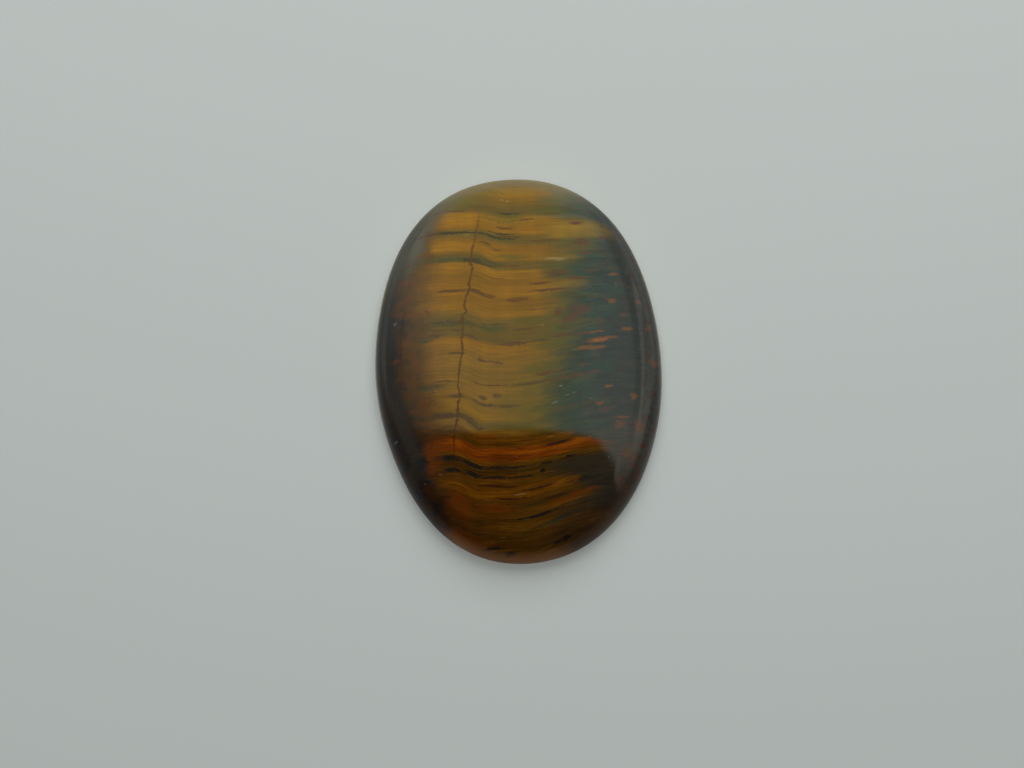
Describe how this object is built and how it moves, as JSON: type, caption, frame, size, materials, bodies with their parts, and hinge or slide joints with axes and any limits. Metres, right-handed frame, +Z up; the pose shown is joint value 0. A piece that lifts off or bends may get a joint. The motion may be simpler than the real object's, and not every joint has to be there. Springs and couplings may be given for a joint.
{
  "type": "tiger's eye cabochon",
  "caption": "Polished oval cabochon of banded gold and blue-grey tiger's eye, with a low domed face, a rounded shoulder and a flat back for setting or resting.",
  "frame": {"origin": "middle of the flat back, which the stone lies on", "axes": "+Z up through the dome, +Y along the stone's length, +X across its width"},
  "size_m": [0.0302, 0.0412, 0.0061],
  "materials": {
    "polished_stone": "polished"
  },
  "bodies": {
    "root": {"tigers_eye": "polished_stone"}
  },
  "joints": []
}
